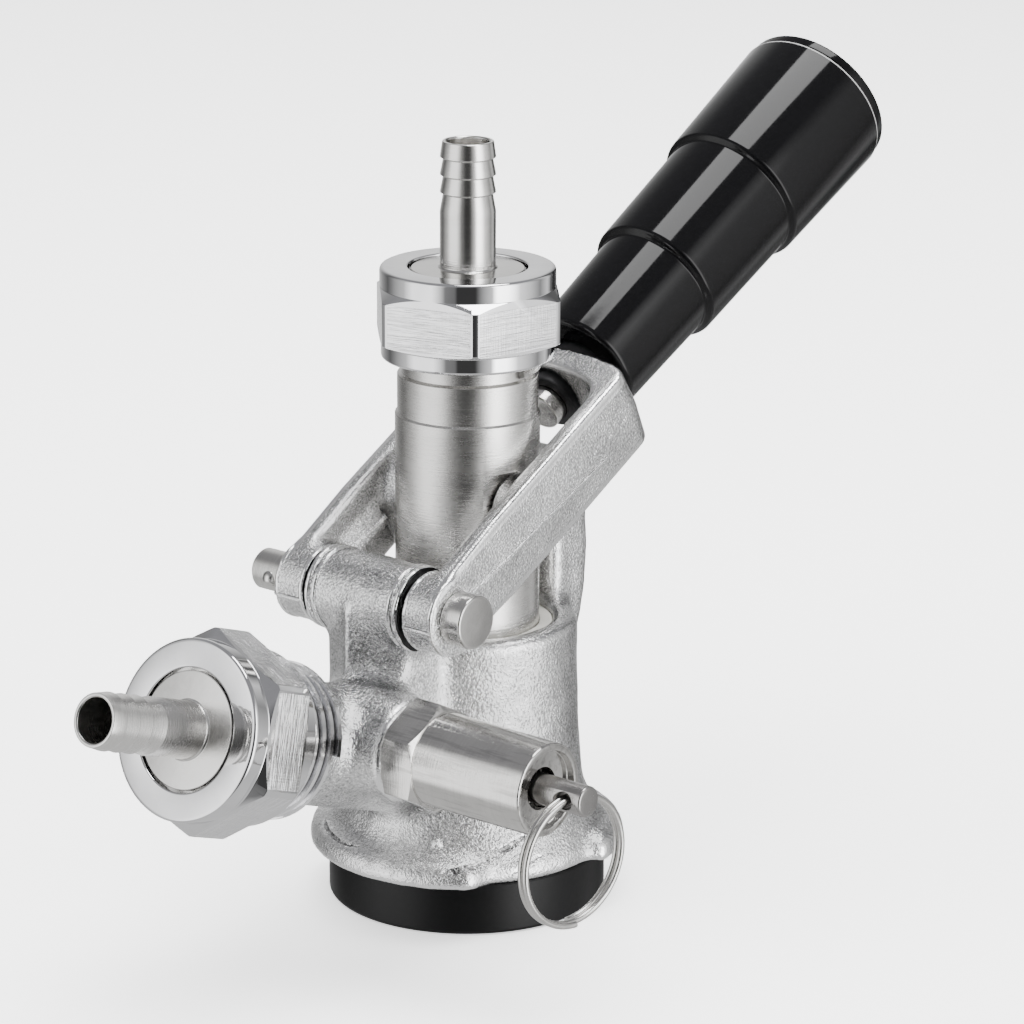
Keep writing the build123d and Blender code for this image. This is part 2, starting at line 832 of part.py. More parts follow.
# Rubber sleeve on the probe foot that seals on the keg's beer tube
with BuildPart() as foot_seal:
    with BuildSketch(Plane.XY.offset(probe_foot_z - 0.4)):
        Circle(probe_foot_r)
        Circle(probe_foot_r - 4.0 + running_fit, mode=Mode.SUBTRACT)
    extrude(amount=foot_seal_len + 0.4)
    chamfer(foot_seal.faces().sort_by(Axis.Z)[0].edges(), length=0.5)
finish(foot_seal.part, "probe_foot_seal")

# Beer check ball, resting on the cone in the probe
seat_slope = atan2(ball_chamber_r - probe_bore_r, 3.5)
seat_apex = probe_step_z - 6.1 - probe_bore_r / tan(seat_slope)
ball_z = seat_apex + ball_r / sin(seat_slope) + 0.06
with BuildPart() as check_ball:
    with Locations((0, 0, ball_z)):
        Sphere(ball_r)
finish(check_ball.part, "beer_check_ball")

# Retainer bush above the ball, with four flow slots in its lower rim
with BuildPart() as ball_retainer:
    with BuildSketch(Plane.XY.offset(probe_top_z - retainer_len + 0.05)):
        Circle(ball_chamber_r + retainer_wall - running_fit)
        Circle(probe_bore_r, mode=Mode.SUBTRACT)
    extrude(amount=retainer_len - 0.1)
    with BuildSketch(Plane.XY.offset(probe_top_z - retainer_len)):
        with PolarLocations(4.6, 4):
            Rectangle(4.0, 2.0)
    extrude(amount=3.0, mode=Mode.SUBTRACT)
finish(ball_retainer.part, "ball_retainer")

# Gas check valve: a flanged duckbill of soft silicone, lips towards the barrel
with BuildPart() as check_valve:
    flange_face = inlet_axis.offset(inlet_end)
    with BuildSketch(flange_face):
        Circle(check_flange_r)
    extrude(amount=-check_flange_thick)
    with BuildSketch(flange_face.offset(-check_flange_thick)):
        Circle(check_body_r)
    with BuildSketch(flange_face.offset(-check_len)):
        Rectangle(2 * check_body_r - 1.0, 2.6)
    loft()
    with BuildSketch(flange_face):
        Circle(check_body_r - check_wall)
    with BuildSketch(flange_face.offset(-check_len + 1.4)):
        Rectangle(2 * (check_body_r - check_wall) - 1.0, 0.5)
    loft(mode=Mode.SUBTRACT)
finish(check_valve.part, "gas_check_valve")

# Relief valve body: stub, hexagon, round barrel with a recessed end
end_wall_x = relief_end_x - relief_recess - relief_end_wall
seat_face_x = relief_seat_x + 3.0
with BuildPart() as relief_body:
    with BuildSketch(relief_axis.offset(relief_seat_x - relief_stub_len)):
        Circle(relief_stub_r)
    extrude(amount=relief_stub_len)
    with BuildSketch(relief_axis.offset(relief_seat_x)):
        RegularPolygon(relief_hex_flats / 2, 6, major_radius=False, rotation=relief_hex_turn)
    extrude(amount=relief_hex_len)
    add(
        turned(
            [
                (0, relief_seat_x - relief_stub_len),
                (relief_hex_flats / 2, relief_seat_x - relief_stub_len),
                (relief_hex_flats / 2, relief_seat_x),
                (relief_hex_flats / 2 + 1.4, relief_seat_x + 0.7),
                (relief_hex_flats / 2 + 1.4, relief_seat_x + relief_hex_len - 0.8),
                (relief_hex_flats / 2, relief_seat_x + relief_hex_len),
                (0, relief_seat_x + relief_hex_len),
            ],
            relief_axis,
        ),
        mode=Mode.INTERSECT,
    )
    add(
        turned(
            [
                (0, relief_seat_x + 1.0),
                (relief_r, relief_seat_x + 1.0),
                (relief_r, relief_seat_x + relief_hex_len + 0.5),
                (relief_end_r, relief_end_x - 0.4),
                (relief_end_r - 0.4, relief_end_x),
                (0, relief_end_x),
            ],
            relief_axis,
        )
    )
    with BuildSketch(relief_axis.offset(seat_face_x)):
        Circle(relief_chamber_r)
    extrude(amount=end_wall_x - seat_face_x, mode=Mode.SUBTRACT)
    with BuildSketch(relief_axis.offset(relief_end_x)):
        Circle(relief_recess_r)
    extrude(amount=-relief_recess, mode=Mode.SUBTRACT)
    with BuildSketch(relief_axis.offset(relief_end_x)):
        Circle(stem_r + running_fit)
    extrude(amount=-relief_recess - relief_end_wall - 1, mode=Mode.SUBTRACT)
    with BuildSketch(relief_axis.offset(relief_seat_x - relief_stub_len)):
        Circle(relief_port_r)
    extrude(amount=relief_stub_len + 4, mode=Mode.SUBTRACT)
finish(relief_body.part, "relief_valve_body")

# Relief valve seat disc of rubber, held on the stem head
with BuildPart() as relief_disc:
    with BuildSketch(relief_axis.offset(seat_face_x + 0.02)):
        Circle(relief_disc_r)
    extrude(amount=relief_disc_thick)
finish(relief_disc.part, "relief_valve_disc")

# Relief valve stem with the cross hole for the pull ring
stem_head_x = seat_face_x + 0.02 + relief_disc_thick
with BuildPart() as relief_stem:
    add(
        turned(
            [
                (0, stem_head_x),
                (stem_head_r, stem_head_x),
                (stem_head_r, stem_head_x + stem_head_thick),
                (stem_r, stem_head_x + stem_head_thick),
                (stem_r, stem_end_x - 0.4),
                (stem_r - 0.4, stem_end_x),
                (0, stem_end_x),
            ],
            relief_axis,
        )
    )
    with BuildSketch(Plane(origin=(stem_hole_x, relief_y, relief_z), z_dir=(0, 1, 0))):
        Circle(stem_hole_r)
    extrude(amount=stem_r + 1, both=True, mode=Mode.SUBTRACT)
    for side in (1, -1):
        with BuildSketch(Plane(origin=(stem_hole_x, relief_y + side * (stem_r - 1.0), relief_z), z_dir=(0, side, 0))):
            Circle(stem_hole_r - 0.1)
        extrude(amount=1.2, taper=-30, mode=Mode.SUBTRACT)
finish(relief_stem.part, "relief_valve_stem")

finish(
    coil_spring(
        relief_axis,
        stem_head_x + stem_head_thick + lie_gap,
        end_wall_x - lie_gap,
        (relief_chamber_r + stem_r) / 2,
        relief_spring_wire / 2,
        8,
    ),
    "relief_valve_spring",
)

# Split pull ring of two coils, hanging from the cross hole of the stem
ring_centre = Vector(stem_hole_x, relief_y, relief_z - ring_r + 0.1)
ring_plane = Plane(
    origin=ring_centre,
    x_dir=(0, 0, 1),
    z_dir=(cos(radians(ring_turn)), -sin(radians(ring_turn)), 0),
)
with BuildPart() as pull_ring:
    for side in (1, -1):
        centre_plane = ring_plane.offset(side * (ring_wire_r - 0.03))
        section = Plane(
            origin=centre_plane.origin + centre_plane.x_dir * -ring_r,
            x_dir=centre_plane.x_dir,
            z_dir=centre_plane.y_dir,
        )
        with BuildSketch(section):
            Circle(ring_wire_r)
        revolve(axis=Axis(centre_plane.origin, centre_plane.z_dir))
finish(pull_ring.part, "pull_ring")

print("probe travel", round(probe_travel, 3), "lug", round(lug_y, 2), round(lug_z, 2))
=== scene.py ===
import json
from math import acos, cos, hypot, pi, radians, tan

import bpy
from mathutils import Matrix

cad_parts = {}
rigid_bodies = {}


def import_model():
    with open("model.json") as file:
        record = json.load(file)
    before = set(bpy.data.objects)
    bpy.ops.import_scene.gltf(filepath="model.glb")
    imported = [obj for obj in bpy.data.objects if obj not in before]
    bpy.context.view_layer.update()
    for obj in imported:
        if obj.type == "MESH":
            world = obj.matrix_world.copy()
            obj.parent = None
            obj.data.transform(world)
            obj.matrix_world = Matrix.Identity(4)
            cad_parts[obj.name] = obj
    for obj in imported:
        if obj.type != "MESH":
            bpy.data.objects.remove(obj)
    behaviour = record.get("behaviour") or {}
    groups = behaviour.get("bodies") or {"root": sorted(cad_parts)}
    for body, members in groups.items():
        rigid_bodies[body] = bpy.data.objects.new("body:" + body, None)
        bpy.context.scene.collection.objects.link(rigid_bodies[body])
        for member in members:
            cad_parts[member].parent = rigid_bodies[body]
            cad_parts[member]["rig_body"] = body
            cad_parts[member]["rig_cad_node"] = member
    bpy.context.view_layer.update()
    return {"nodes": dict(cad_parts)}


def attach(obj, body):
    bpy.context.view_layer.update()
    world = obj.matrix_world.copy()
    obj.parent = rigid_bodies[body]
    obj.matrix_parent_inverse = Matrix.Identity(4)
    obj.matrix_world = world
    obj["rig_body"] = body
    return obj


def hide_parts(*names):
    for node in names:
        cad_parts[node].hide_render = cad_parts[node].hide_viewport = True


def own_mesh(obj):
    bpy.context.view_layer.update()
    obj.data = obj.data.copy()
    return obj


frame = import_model()


# The table and the light: a white photo table that stands a hair under the base ring,
# a soft box and a ceiling of white cloth over it, and the camera of the photo.
MM = 0.001


def deselect():
    if bpy.context.object and bpy.context.object.mode != "OBJECT":
        bpy.ops.object.mode_set(mode="OBJECT")
    bpy.ops.object.select_all(action="DESELECT")


deselect()
bpy.ops.mesh.primitive_grid_add(
    x_subdivisions=24, y_subdivisions=24, size=6.0, location=(0, 0, -0.1 * MM)
)
table = bpy.context.object
table.name = "photo_table"
table.visible_glossy = False

bpy.ops.object.camera_add(
    location=(0.39378, -0.46321, 0.24019),
    rotation=[radians(angle) for angle in (73.629, -0.279, 39.799)],
)
camera = bpy.context.object
camera.name = "photo_camera"
camera.data.lens = 143.88
camera.data.sensor_width = 36.0
camera.data.clip_start = 0.01
bpy.context.scene.camera = camera


def soft_box(name, place, size, power):
    """Lamp of two side lengths that looks straight down."""
    bpy.ops.object.light_add(type="AREA", location=place)
    lamp = bpy.context.object
    lamp.name = name
    lamp.data.shape = "RECTANGLE"
    lamp.data.size, lamp.data.size_y = size
    lamp.data.energy = power
    return lamp


soft_box("top_soft_box", (0.07, 0.15, 0.82), (0.38, 0.35), 4.7)
ceiling = soft_box("ceiling_cloth", (0.0, 0.0, 1.1), (1.6, 1.6), 65.0)
ceiling.visible_glossy = False


# The tent goes round the compass: a dark gap for the camera, a bright soft box on its
# right and a fainter one on its left, dark cloth further round, grey above and below.
class Value:
    """Output of a material node, so that shader maths is written as plain Python maths."""

    def __init__(self, tree, out):
        self.tree = tree
        self.out = out

    def math(self, operation, *others):
        step = self.tree.nodes.new("ShaderNodeMath")
        step.operation = operation
        for socket, value in zip(step.inputs, (self, *others)):
            if isinstance(value, Value):
                self.tree.links.new(value.out, socket)
            else:
                socket.default_value = value
        return Value(self.tree, step.outputs[0])

    def vector(self, operation, other=None):
        """Vector maths; a length, a distance and a dot product come out as numbers."""
        step = self.tree.nodes.new("ShaderNodeVectorMath")
        step.operation = operation
        self.tree.links.new(self.out, step.inputs[0])
        if other is not None:
            step.inputs[1].default_value = other
        number = operation in ("LENGTH", "DISTANCE", "DOT_PRODUCT")
        return Value(self.tree, step.outputs["Value" if number else "Vector"])

    def part(self, index):
        """The x, y or z of a vector."""
        step = self.tree.nodes.new("ShaderNodeSeparateXYZ")
        self.tree.links.new(self.out, step.inputs[0])
        return Value(self.tree, step.outputs[index])

    def __add__(self, other):
        return self.math("ADD", other)

    def __sub__(self, other):
        return self.math("SUBTRACT", other)

    def __rsub__(self, other):
        return self * -1.0 + other

    def __mul__(self, other):
        return self.math("MULTIPLY", other)

    def __lt__(self, other):
        return self.math("LESS_THAN", other)

    def __gt__(self, other):
        return self.math("GREATER_THAN", other)

    def __abs__(self):
        return self.math("ABSOLUTE")

    __radd__ = __add__
    __rmul__ = __mul__


class Finish:
    """One material: its shader holds the constants, and feed() links what varies."""

    def __init__(self, name, tree=None, **constants):
        if tree is None:
            self.material = bpy.data.materials.new(name)
            self.material.use_nodes = True
            tree = self.material.node_tree
            self.shader = tree.nodes["Principled BSDF"]
            for socket, value in constants.items():
                self.shader.inputs[socket.replace("_", " ")].default_value = value
        self.tree = tree

    def node(self, kind, inputs=None, out=0, **settings):
        step = self.tree.nodes.new("ShaderNode" + kind)
        for key, value in settings.items():
            setattr(step, key, value)
        for key, value in (inputs or {}).items():
            if isinstance(value, Value):
                self.tree.links.new(value.out, step.inputs[key])
            else:
                step.inputs[key].default_value = value
        return Value(self.tree, step.outputs[out])

    def spot(self):
        """The spot on the piece, in the shared frame."""
        return self.node("TexCoord", out="Object")

    def own(self, place=(0, 0, 0), turn=(0, 0, 0)):
        """The spot on the piece, seen from the piece's own axis, which place and turn give."""
        shift = {"Location": [v * MM for v in place], "Rotation": [radians(v) for v in turn]}
        return self.node("Mapping", {"Vector": self.spot(), **shift}, vector_type="TEXTURE")

    def ramp(self, factor, *stops):
        """Shades between (position, shade) stops; a shade is a colour, or a number for a grey."""
        shades = self.node("ValToRGB", {"Fac": factor})
        elements = shades.out.node.color_ramp.elements
        while len(elements) < len(stops):
            elements.new(0.5)
        for stop, (where, shade) in zip(elements, stops):
            stop.position = where
            stop.color = (shade, shade, shade, 1) if isinstance(shade, float) else (*shade, 1)
        return shades

    def mix(self, factor, shade, other):
        return self.node("Mix", {0: factor, 6: shade, 7: (*other, 1)}, out=2, data_type="RGBA")

    def noise(self, place, scale, detail=3.0, roughness=0.5):
        settings = {"Vector": place, "Scale": scale, "Detail": detail, "Roughness": roughness}
        return self.node("TexNoise", settings)

    def bump(self, height, distance, strength=1.0):
        return self.node("Bump", {"Height": height, "Distance": distance, "Strength": strength})

    def feed(self, **sockets):
        for key, value in sockets.items():
            self.tree.links.new(value.out, self.shader.inputs[key.replace("_", " ")])


world = bpy.data.worlds.new("white_tent")
bpy.context.scene.world = world
world.use_nodes = True
tent = Finish("white_tent", tree=world.node_tree)
direction = tent.node("TexCoord", out="Generated")
to_camera = direction.vector("DOT_PRODUCT", (0.64, -0.77, 0))
to_right = direction.vector("DOT_PRODUCT", (0.77, 0.64, 0))
height = direction.part(2)
compass = to_right.math("ARCTAN2", to_camera) * (0.5 / pi) + 0.5
dark_behind = [(0.00, 0.17), (0.10, 0.05), (0.15, 0.02), (0.18, 0.04), (0.25, 0.12)]
left_box = [(0.29, 0.34), (0.37, 0.36), (0.42, 0.04), (0.455, 0.03)]
camera_gap = [(0.465, 0.008), (0.53, 0.008), (0.54, 0.03), (0.59, 0.16)]
right_box = [(0.61, 1.00), (0.65, 0.90), (0.70, 0.22)]
dark_right = [(0.80, 0.05), (0.85, 0.14), (0.88, 0.02), (0.93, 0.02), (1.00, 0.17)]
cloth = tent.ramp(compass, *dark_behind, *left_box, *camera_gap, *right_box, *dark_right)
above = tent.ramp(height, (0.50, 0.0), (0.70, 1.0))
below = tent.ramp(height * -1.0, (0.42, 0.0), (0.60, 1.0))
roofed = tent.mix(above, cloth, (0.05, 0.05, 0.052))
tent_shade = tent.mix(below, roofed, (0.11, 0.11, 0.11))
background = world.node_tree.nodes["Background"]
world.node_tree.links.new(tent_shade.out, background.inputs["Color"])
background.inputs["Strength"].default_value = 7.0


# Table top: a sheet of matt white paper, lit so strongly in the photo that it burns
# out to white. A little light of its own stands in for that.
paper = Finish(
    "white_paper",
    Base_Color=(0.88, 0.88, 0.88, 1),
    Roughness=0.75,
    Emission_Color=(1, 1, 1, 1),
    Emission_Strength=1.0,
)
paper.feed(Normal=paper.bump(paper.noise(paper.spot(), 700.0), 0.0002, 0.1))
table.data.materials.append(paper.material)


# Body: a brass casting, shot-blasted and plated with nickel and chrome. Every inner
# and outer corner is rounded by the mould; the bores and the seat are cut afterwards.
HINGE = (0, -21.0, 52.8)
ACROSS = dict(place=HINGE, turn=(0, 90, 0))
INLET = dict(place=(0, 0, 20.9), turn=(70.9, 0, 0))
PIN_HOLE = 3.25


def activate(piece):
    deselect()
    piece.select_set(True)
    bpy.context.view_layer.objects.active = piece


def laid(piece, place=(0, 0, 0), turn=(0, 0, 0)):
    """Turn the piece by degrees, set it down in its place, and keep both in its mesh."""
    activate(piece)
    piece.location = [v * MM for v in place]
    piece.rotation_euler = [radians(v) for v in turn]
    bpy.ops.object.transform_apply(location=True, rotation=True, scale=True)
    return piece


def fresh(name):
    """The piece that was just added, named, with its size and place kept in its mesh."""
    piece = bpy.context.object
    piece.name = name
    bpy.ops.object.transform_apply(location=True, rotation=True, scale=True)
    return piece


def with_modifier(piece, kind, **settings):
    activate(piece)
    step = piece.modifiers.new(kind.lower(), kind)
    for key, value in settings.items():
        setattr(step, key, value)
    bpy.ops.object.modifier_apply(modifier=step.name)


def cut(piece, tool, operation="DIFFERENCE"):
    with_modifier(piece, "BOOLEAN", operation=operation, object=tool, solver="MANIFOLD")
    bpy.data.objects.remove(tool)


def mended(weld=0.0, close=False):
    """Weld near points of the active mesh, close its open ends, and face it outwards."""
    bpy.ops.object.mode_set(mode="EDIT")
    bpy.ops.mesh.select_all(action="SELECT")
    if weld:
        bpy.ops.mesh.remove_doubles(threshold=weld * MM)
    if close:
        bpy.ops.mesh.fill_holes(sides=0)
    bpy.ops.mesh.normals_make_consistent(inside=False)
    bpy.ops.object.mode_set(mode="OBJECT")


def turned(name, outline, place=(0, 0, 0), turn=(0, 0, 0), solid=True, sides=128):
    """Turned piece along Z from (radius, distance) points; a tube's outline closes."""
    deselect()
    radius, start = outline[0]
    bpy.ops.mesh.primitive_circle_add(
        vertices=sides,
        radius=radius * MM,
        fill_type="NGON" if solid else "NOTHING",
        location=(0, 0, start * MM),
    )
    piece = fresh(name)
    bpy.ops.object.mode_set(mode="EDIT")
    for far_radius, far in outline[1:]:
        step = (0, 0, (far - start) * MM)
        bpy.ops.mesh.extrude_region_move(TRANSFORM_OT_translate={"value": step})
        bpy.ops.transform.resize(value=(far_radius / radius, far_radius / radius, 1))
        radius, start = far_radius, far
    mended(weld=0.0005)
    return laid(piece, place, turn)


def copy_of(node, name):
    """Loose copy of a solid of the frame, its points welded."""
    activate(frame["nodes"][node])
    bpy.ops.object.duplicate()
    piece = bpy.context.object
    piece.name = name
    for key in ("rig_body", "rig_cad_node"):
        if key in piece:
            del piece[key]
    bpy.ops.object.mode_set(mode="EDIT")
    bpy.ops.mesh.select_all(action="SELECT")
    bpy.ops.mesh.remove_doubles(threshold=0.002 * MM)
    bpy.ops.object.mode_set(mode="OBJECT")
    return piece


def fit(piece, finish, slot, body, *nodes, angle=30):
    """Smooth the piece, give it its finish and let it ride on its body for the nodes."""
    activate(piece)
    bpy.ops.object.shade_smooth_by_angle(angle=radians(angle))
    piece.data.materials.clear()
    piece.data.materials.append(finish.material)
    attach(piece, body)
    if nodes:
        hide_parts(*nodes)


def cast_corners(piece, fillet, grain, last_grain):
    """Fill the inner corners as a mould does: swell the piece by fillet and shrink it back."""
    for swell in (fillet, -fillet):
        with_modifier(piece, "REMESH", mode="VOXEL", voxel_size=grain * MM)
        with_modifier(piece, "DISPLACE", strength=swell * MM, mid_level=0.0)
    with_modifier(piece, "REMESH", mode="VOXEL", voxel_size=last_grain * MM)
    with_modifier(piece, "SMOOTH", factor=0.5, iterations=4)


def ragged(piece, size, depth):
    """Roughen a mesh the way sand or a worn mould does, with waves of the given size."""
    waves = bpy.data.textures.new("mould_waves", "CLOUDS")
    waves.noise_scale = size * MM
    with_modifier(piece, "DISPLACE", texture=waves, strength=depth * MM, mid_level=0.5)


def seam(name, points, radius):
    """Thin ragged cord through the points, tapered at both ends, to cut a crease."""
    deselect()
    bpy.ops.curve.primitive_nurbs_path_add(radius=MM, location=(0, 0, 0))
    cord = bpy.context.object
    line = cord.data.splines[0]
    line.points.add(max(0, len(points) - len(line.points)))
    for knot, place in zip(line.points, points + [points[-1]] * len(line.points)):
        knot.co = (*[v * MM for v in place], 1)
        knot.radius = 0.15 if place in (points[0], points[-1]) else 1.0
    line.order_u = 3
    line.use_endpoint_u = True
    line.resolution_u = 10
    cord.data.bevel_depth = radius * MM
    cord.data.use_fill_caps = True
    bpy.ops.object.convert(target="MESH")
    piece = fresh(name)
    mended(weld=0.001)
    ragged(piece, 0.9, 0.7 * radius)
    return piece


def bead(name, radius, thick, distance, place, turn):
    """Ring of flash that a mould joint leaves round a turned end."""
    deselect()
    bpy.ops.mesh.primitive_torus_add(
        major_segments=120,
        minor_segments=14,
        major_radius=radius * MM,
        minor_radius=thick * MM,
        location=(0, 0, distance * MM),
    )
    piece = laid(fresh(name), place, turn)
    ragged(piece, 1.6, 0.5 * thick)
    return piece


def cast_finish(name, pebble_scale, pebble_depth, slit, polished=None):
    """Pebbled chrome, lighter on sharp edges and where the given mask says, partly for wear and
    partly as a painted highlight, with painted shade in its corners.

    It has painted shade too in the slit beside each hub, between two distances along the hinge
    pin.
    """
    cast = Finish(name, Metallic=1.0)
    spot = cast.spot()
    pebble = cast.noise(spot, pebble_scale, 2.0)
    grit = cast.noise(spot, 2.2 * pebble_scale, 2.0)
    cloud = cast.noise(spot, 160.0, 4.0, 0.55)
    corner = cast.node("NewGeometry", out="Pointiness")
    # Partly wear, partly painted highlight: the colour is lighter and the surface smoother on
    # sharp edges and on the edges of the given mask.
    wear_and_highlight = cast.ramp(corner, (0.51, 0.0), (0.54, 1.0))
    if polished:
        wear_and_highlight = wear_and_highlight.math("MAXIMUM", polished(cast))
    # Painted shade: the colour darkens where the mesh is hollow, in inner corners and creases.
    painted_corner_shade = cast.ramp(corner, (0.43, 1.0), (0.475, 0.0))
    # Painted shade in the slit beside each hub, close round the hinge pin, where the gap lies in
    # shadow.
    from_hinge = spot.vector("SUBTRACT", [v * MM for v in HINGE])
    side = abs(from_hinge.part(0))
    from_pin = from_hinge.vector("MULTIPLY", (0.0, 1.0, 1.0)).vector("LENGTH")
    painted_slit_shade = (side > slit[0] * MM) * (side < slit[1] * MM) * (from_pin < 7.0 * MM)
    tone = cloud * 0.30 + pebble * 0.45 + grit * 0.25 + wear_and_highlight * 0.4 - painted_corner_shade * 0.4 - painted_slit_shade
    cast.feed(
        Base_Color=cast.ramp(tone, (0.05, 0.03), (0.30, 0.22), (0.46, 0.62), (0.60, 0.95)),
        Roughness=0.09 + cloud * 0.08 - wear_and_highlight * 0.06,
        Normal=cast.bump((pebble + grit * 0.5) * (1.0 - wear_and_highlight * 0.7), pebble_depth),
    )
    return cast


casting = copy_of("body_casting", "casting")
groove = [(10.3, 44.5), (14, 44.5), (14, 61), (10.3, 61), (10.3, 44.5)]
cut(casting, turned("thread_groove", groove, solid=False, **INLET))
cast_corners(casting, fillet=1.5, grain=0.6, last_grain=0.55)
ragged(casting, 3.5, 0.22)

left_crease = [
    (-15.3, -16.5, 12.4),
    (-12.9, -19.1, 12.2),
    (-10.1, -21.1, 12.1),
    (-6.7, -22.4, 12.0),
    (-3.9, -22.8, 12.1),
    (-1.2, -22.6, 12.7),
]
right_crease = [
    (12.2, -21.1, 11.2),
    (13.6, -20.0, 11.4),
    (14.9, -18.5, 11.7),
    (15.8, -16.6, 11.9),
    (16.2, -14.6, 12.2),
    (17.0, -12.4, 12.8),
    (17.7, -9.9, 13.9),
    (18.5, -7.3, 15.0),
]
joint_line = [(18.0, -14.2, 8.4), (19.5, -10.7, 10.1), (20.4, -7.8, 11.4), (20.6, -4.0, 12.0)]
cut(casting, seam("left_crease", left_crease, 0.4))
cut(casting, seam("right_crease", right_crease, 0.62))
cut(casting, seam("joint_line", joint_line, 0.16))
for side in (1, -1):
    cut(casting, bead("boss_bead", 6.1, 0.5, side * 8.8, **ACROSS), "UNION")
    cut(casting, bead("boss_rib", 6.2, 0.4, side * 7.5, **ACROSS), "UNION")
deselect()
bpy.ops.mesh.primitive_ico_sphere_add(subdivisions=4, radius=1.0 * MM)
lump = laid(bpy.context.object, (9.2, -17.7, 14.1))
ragged(lump, 0.8, 0.5)
cut(casting, lump, "UNION")

keg_seat = [(17.4, -1), (17.4, 9.6), (18.0, 9.6), (18.0, 12.8)]
probe_bore = [(14, 12.8), (14, 28), (11.6, 28), (11.6, 30.9), (13.4, 30.9), (13.4, 84)]
lock_pocket = [(3.65, 41.65), (3.65, 47)]
cut(casting, turned("socket_cutter", keg_seat + probe_bore))
cut(casting, turned("pin_drill", [(PIN_HOLE, -12), (PIN_HOLE, 12)], **ACROSS))
cut(casting, turned("lock_drill", lock_pocket, place=HINGE, turn=(-89.7, 0, 0)))
casting_finish = cast_finish("cast_chrome", 2400.0, 0.00016, slit=(9.2, 9.6))
fit(casting, casting_finish, "plated_casting", "body", "body_casting", angle=40)


# Union thread: the pipe thread of a 5/8 inch union, cut on the gas inlet before it is
# plated. Only the turns near the nut are drawn; the casting is cut back under them.
THREAD_PITCH = 1.814


def thread(name, root, crest, start, turns, place=(0, 0, 0), turn=(0, 0, 0)):
    """Ridge from the root to the crest radius, wound round Z, then laid in its place."""
    middle = (root + crest) / 2 * MM
    deselect()
    bpy.ops.mesh.primitive_plane_add(
        size=1.0, location=(middle, 0, start * MM), rotation=(pi / 2, 0, 0)
    )
    bpy.context.object.scale = ((crest - root) * MM, THREAD_PITCH * 0.92 * MM, 1)
    piece = fresh(name)
    bpy.ops.object.mode_set(mode="EDIT")
    bpy.ops.mesh.select_all(action="DESELECT")
    bpy.ops.object.mode_set(mode="OBJECT")
    for corner in piece.data.vertices:
        corner.select = corner.co.x > middle
    bpy.ops.object.mode_set(mode="EDIT")
    bpy.ops.transform.resize(value=(1, 1, 0.42))
    bpy.ops.object.mode_set(mode="OBJECT")
    winding = dict(angle=2 * pi * turns, screw_offset=THREAD_PITCH * turns * MM)
    with_modifier(piece, "SCREW", axis="Z", steps=int(80 * turns), **winding)
    mended(weld=0.0005, close=True)
    return laid(piece, place, turn)


inlet_thread = thread("gas_inlet_thread", 9.2, 11.95, 45.7, 6.8, **INLET)
thread_chrome = Finish("thread_chrome", Metallic=1.0)
thread_cloud = thread_chrome.noise(thread_chrome.spot(), 400.0, 4.0, 0.6)
thread_axis = thread_chrome.own(**INLET).vector("MULTIPLY", (1.0, 1.0, 0.0)).vector("LENGTH")
root_radius, root_to_crest = 10.7 * MM, 0.8 * MM
# Painted light and shade: the colour is near black at the roots of the thread and bright on its
# crests.
painted_thread_shade = thread_chrome.ramp(
    (thread_axis - root_radius) * (1 / root_to_crest), (0.0, 0.0), (1.0, 1.0)
)
thread_chrome.feed(
    Base_Color=thread_chrome.ramp(
        thread_cloud * 0.3 + painted_thread_shade * 0.7,
        (0.1, 0.06),
        (0.7, (0.70, 0.70, 0.71)),
        (0.85, (0.93, 0.93, 0.94)),
    ),
    Roughness=thread_cloud * 0.16 + 0.02,
    Normal=thread_chrome.bump(thread_cloud, 0.00006, 0.6),
)
fit(inlet_thread, thread_chrome, "plated_casting", "body", angle=25)


# Base ring: a moulded ring of hard black rubber, pressed over the skirt of the casting.
# It is the face that the coupler stands on, and its outer edges are well rounded.
def rounded(corners, steps=5):
    """Outline through (radius, distance, round) corners, each rounded by its own radius."""
    outline = [corners[0][:2]]
    for before, corner, after in zip(corners, corners[1:], corners[2:]):
        r, z, round_r = corner
        back = hypot(before[0] - r, before[1] - z)
        ahead = hypot(after[0] - r, after[1] - z)
        if round_r == 0 or min(back, ahead) == 0:
            outline.append((r, z))
            continue
        a = ((before[0] - r) / back, (before[1] - z) / back)
        b = ((after[0] - r) / ahead, (after[1] - z) / ahead)
        half = acos(max(-1.0, min(1.0, a[0] * b[0] + a[1] * b[1]))) / 2
        reach = min(round_r / tan(half), 0.48 * back, 0.48 * ahead)
        for step in range(steps + 1):
            t = step / steps
            near, far = reach * (1 - t) ** 2, reach * t ** 2
            outline.append((r + a[0] * near + b[0] * far, z + a[1] * near + b[1] * far))
    outline.append(corners[-1][:2])
    return outline


def plastic_finish(name, shade, roughness, grain, depth):
    """Moulded plastic or rubber with a fine grain, its shade and shine a little patchy."""
    plastic = Finish(name, Specular_IOR_Level=0.22)
    spot = plastic.spot()
    fine = plastic.noise(spot, grain)
    patch = plastic.noise(spot, 90.0, 4.0)
    dark, light = [0.8 * c for c in shade], [1.25 * c for c in shade]
    plastic.feed(
        Base_Color=plastic.ramp(patch, (0.3, dark), (0.7, light)),
        Roughness=patch * 0.16 + (roughness - 0.08),
        Normal=plastic.bump(fine, depth, 0.5),
    )
    return plastic


ring_outline = rounded(
    [
        (17.4, 0.45, 0),
        (17.7, 0, 0.2),
        (21.8, 0, 0.8),
        (21.8, 8.2, 0.5),
        (19.25, 8.2, 0.1),
        (19.25, 0.9, 0.1),
        (17.4, 0.9, 0.1),
        (17.4, 0.45, 0),
    ]
)
base_ring = turned("foot_ring", ring_outline, solid=False)
black_rubber = plastic_finish("black_ring", (0.0018, 0.0018, 0.002), 0.40, 1500.0, 0.00003)
fit(base_ring, black_rubber, "black_ring", "body", "base_ring")


